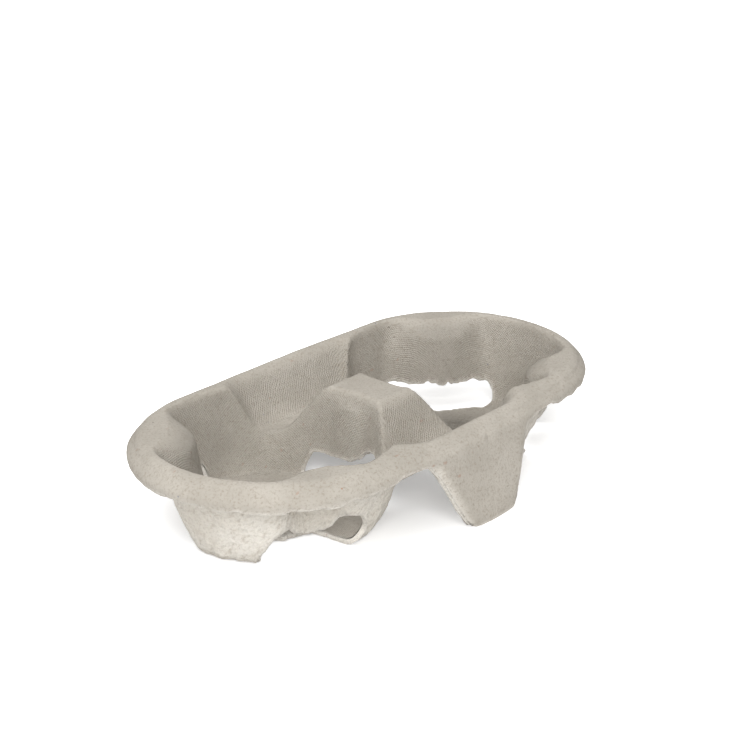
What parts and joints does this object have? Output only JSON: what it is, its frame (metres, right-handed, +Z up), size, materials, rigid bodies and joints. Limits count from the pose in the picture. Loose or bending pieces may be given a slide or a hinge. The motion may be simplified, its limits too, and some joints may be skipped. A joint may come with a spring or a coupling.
{
  "type": "cup carrier",
  "caption": "Moulded-pulp carrier tray with tapered, nubbed cup pockets side by side, a hump and finger troughs between them, windows low in the walls and leg panels on the long sides.",
  "frame": {"origin": "middle of the footprint, on the surface the carrier stands on", "axes": "+X runs through both pockets, +Y from the front leg panel to the back one, +Z up out of the pockets"},
  "size_m": [0.2136, 0.124, 0.036],
  "materials": {
    "pulp": "matt moulded paper pulp, grey-beige with sparse fibre specks"
  },
  "bodies": {
    "root": {"carrier": "pulp"}
  },
  "joints": []
}
